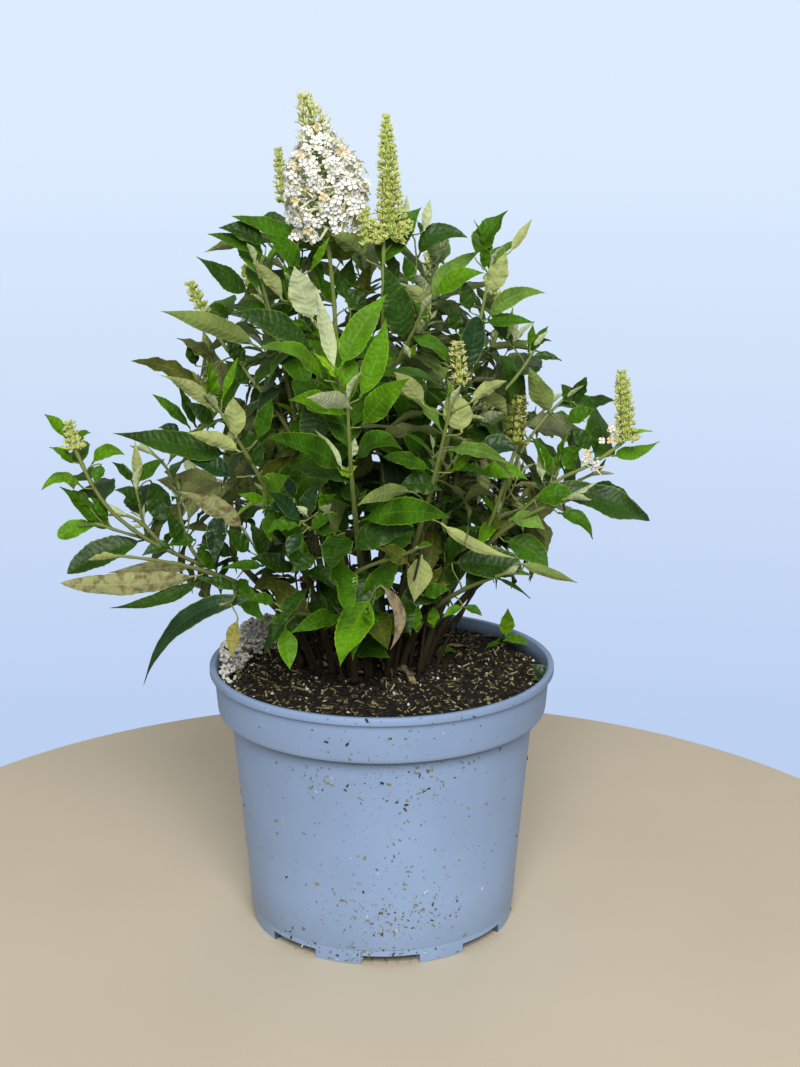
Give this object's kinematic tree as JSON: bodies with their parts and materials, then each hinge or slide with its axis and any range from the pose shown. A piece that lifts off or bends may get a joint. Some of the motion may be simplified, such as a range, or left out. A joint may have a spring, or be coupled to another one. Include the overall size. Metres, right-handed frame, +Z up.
{
  "type": "potted butterfly bush",
  "caption": "Dwarf butterfly bush with an open white flower panicle, green bud spikes and a leafy dome, in a round tapered plastic nursery pot full of soil.",
  "frame": {"origin": "centre of the flat underside of the pot, on the surface that the pot stands on", "axes": "+Z up along the pot's axis, -Y towards the side that the picture shows, +X to its right"},
  "size_m": [0.4293, 0.3518, 0.5353],
  "materials": {
    "pot_plastic": "matt blue-grey",
    "potting_soil": "dark and crumbly",
    "stem_bark": "matt",
    "leaves": "matt"
  },
  "bodies": {
    "root": {"pot": "pot_plastic", "soil": "potting_soil", "stem_top_left": "stem_bark", "stem_top_right": "stem_bark", "stem_upper_left": "stem_bark", "stem_upper_right": "stem_bark", "stem_left_front": "stem_bark", "stem_left_low": "stem_bark", "stem_front": "stem_bark", "stem_front_low": "stem_bark", "stem_right_front": "stem_bark", "stem_right_low": "stem_bark", "stem_right_front_low": "stem_bark", "stem_dry_heads": "stem_bark", "stem_left_foot": "stem_bark", "stem_front_foot": "stem_bark", "stem_right_foot": "stem_bark", "stem_back_top": "stem_bark", "stem_back_left": "stem_bark", "stem_back_right": "stem_bark", "stem_back_low_left": "stem_bark", "stem_back_low_right": "stem_bark", "leaves_top_left": "leaves", "leaves_top_right": "leaves", "leaves_upper_left": "leaves", "leaves_upper_right": "leaves", "leaves_left_front": "leaves", "leaves_left_low": "leaves", "leaves_front": "leaves", "leaves_front_low": "leaves", "leaves_right_front": "leaves", "leaves_right_low": "leaves", "leaves_right_front_low": "leaves", "leaves_dry_heads": "leaves", "leaves_left_foot": "leaves", "leaves_front_foot": "leaves", "leaves_right_foot": "leaves", "leaves_back_top": "leaves", "leaves_back_left": "leaves", "leaves_back_right": "leaves", "leaves_back_low_left": "leaves", "leaves_back_low_right": "leaves"}
  },
  "joints": []
}
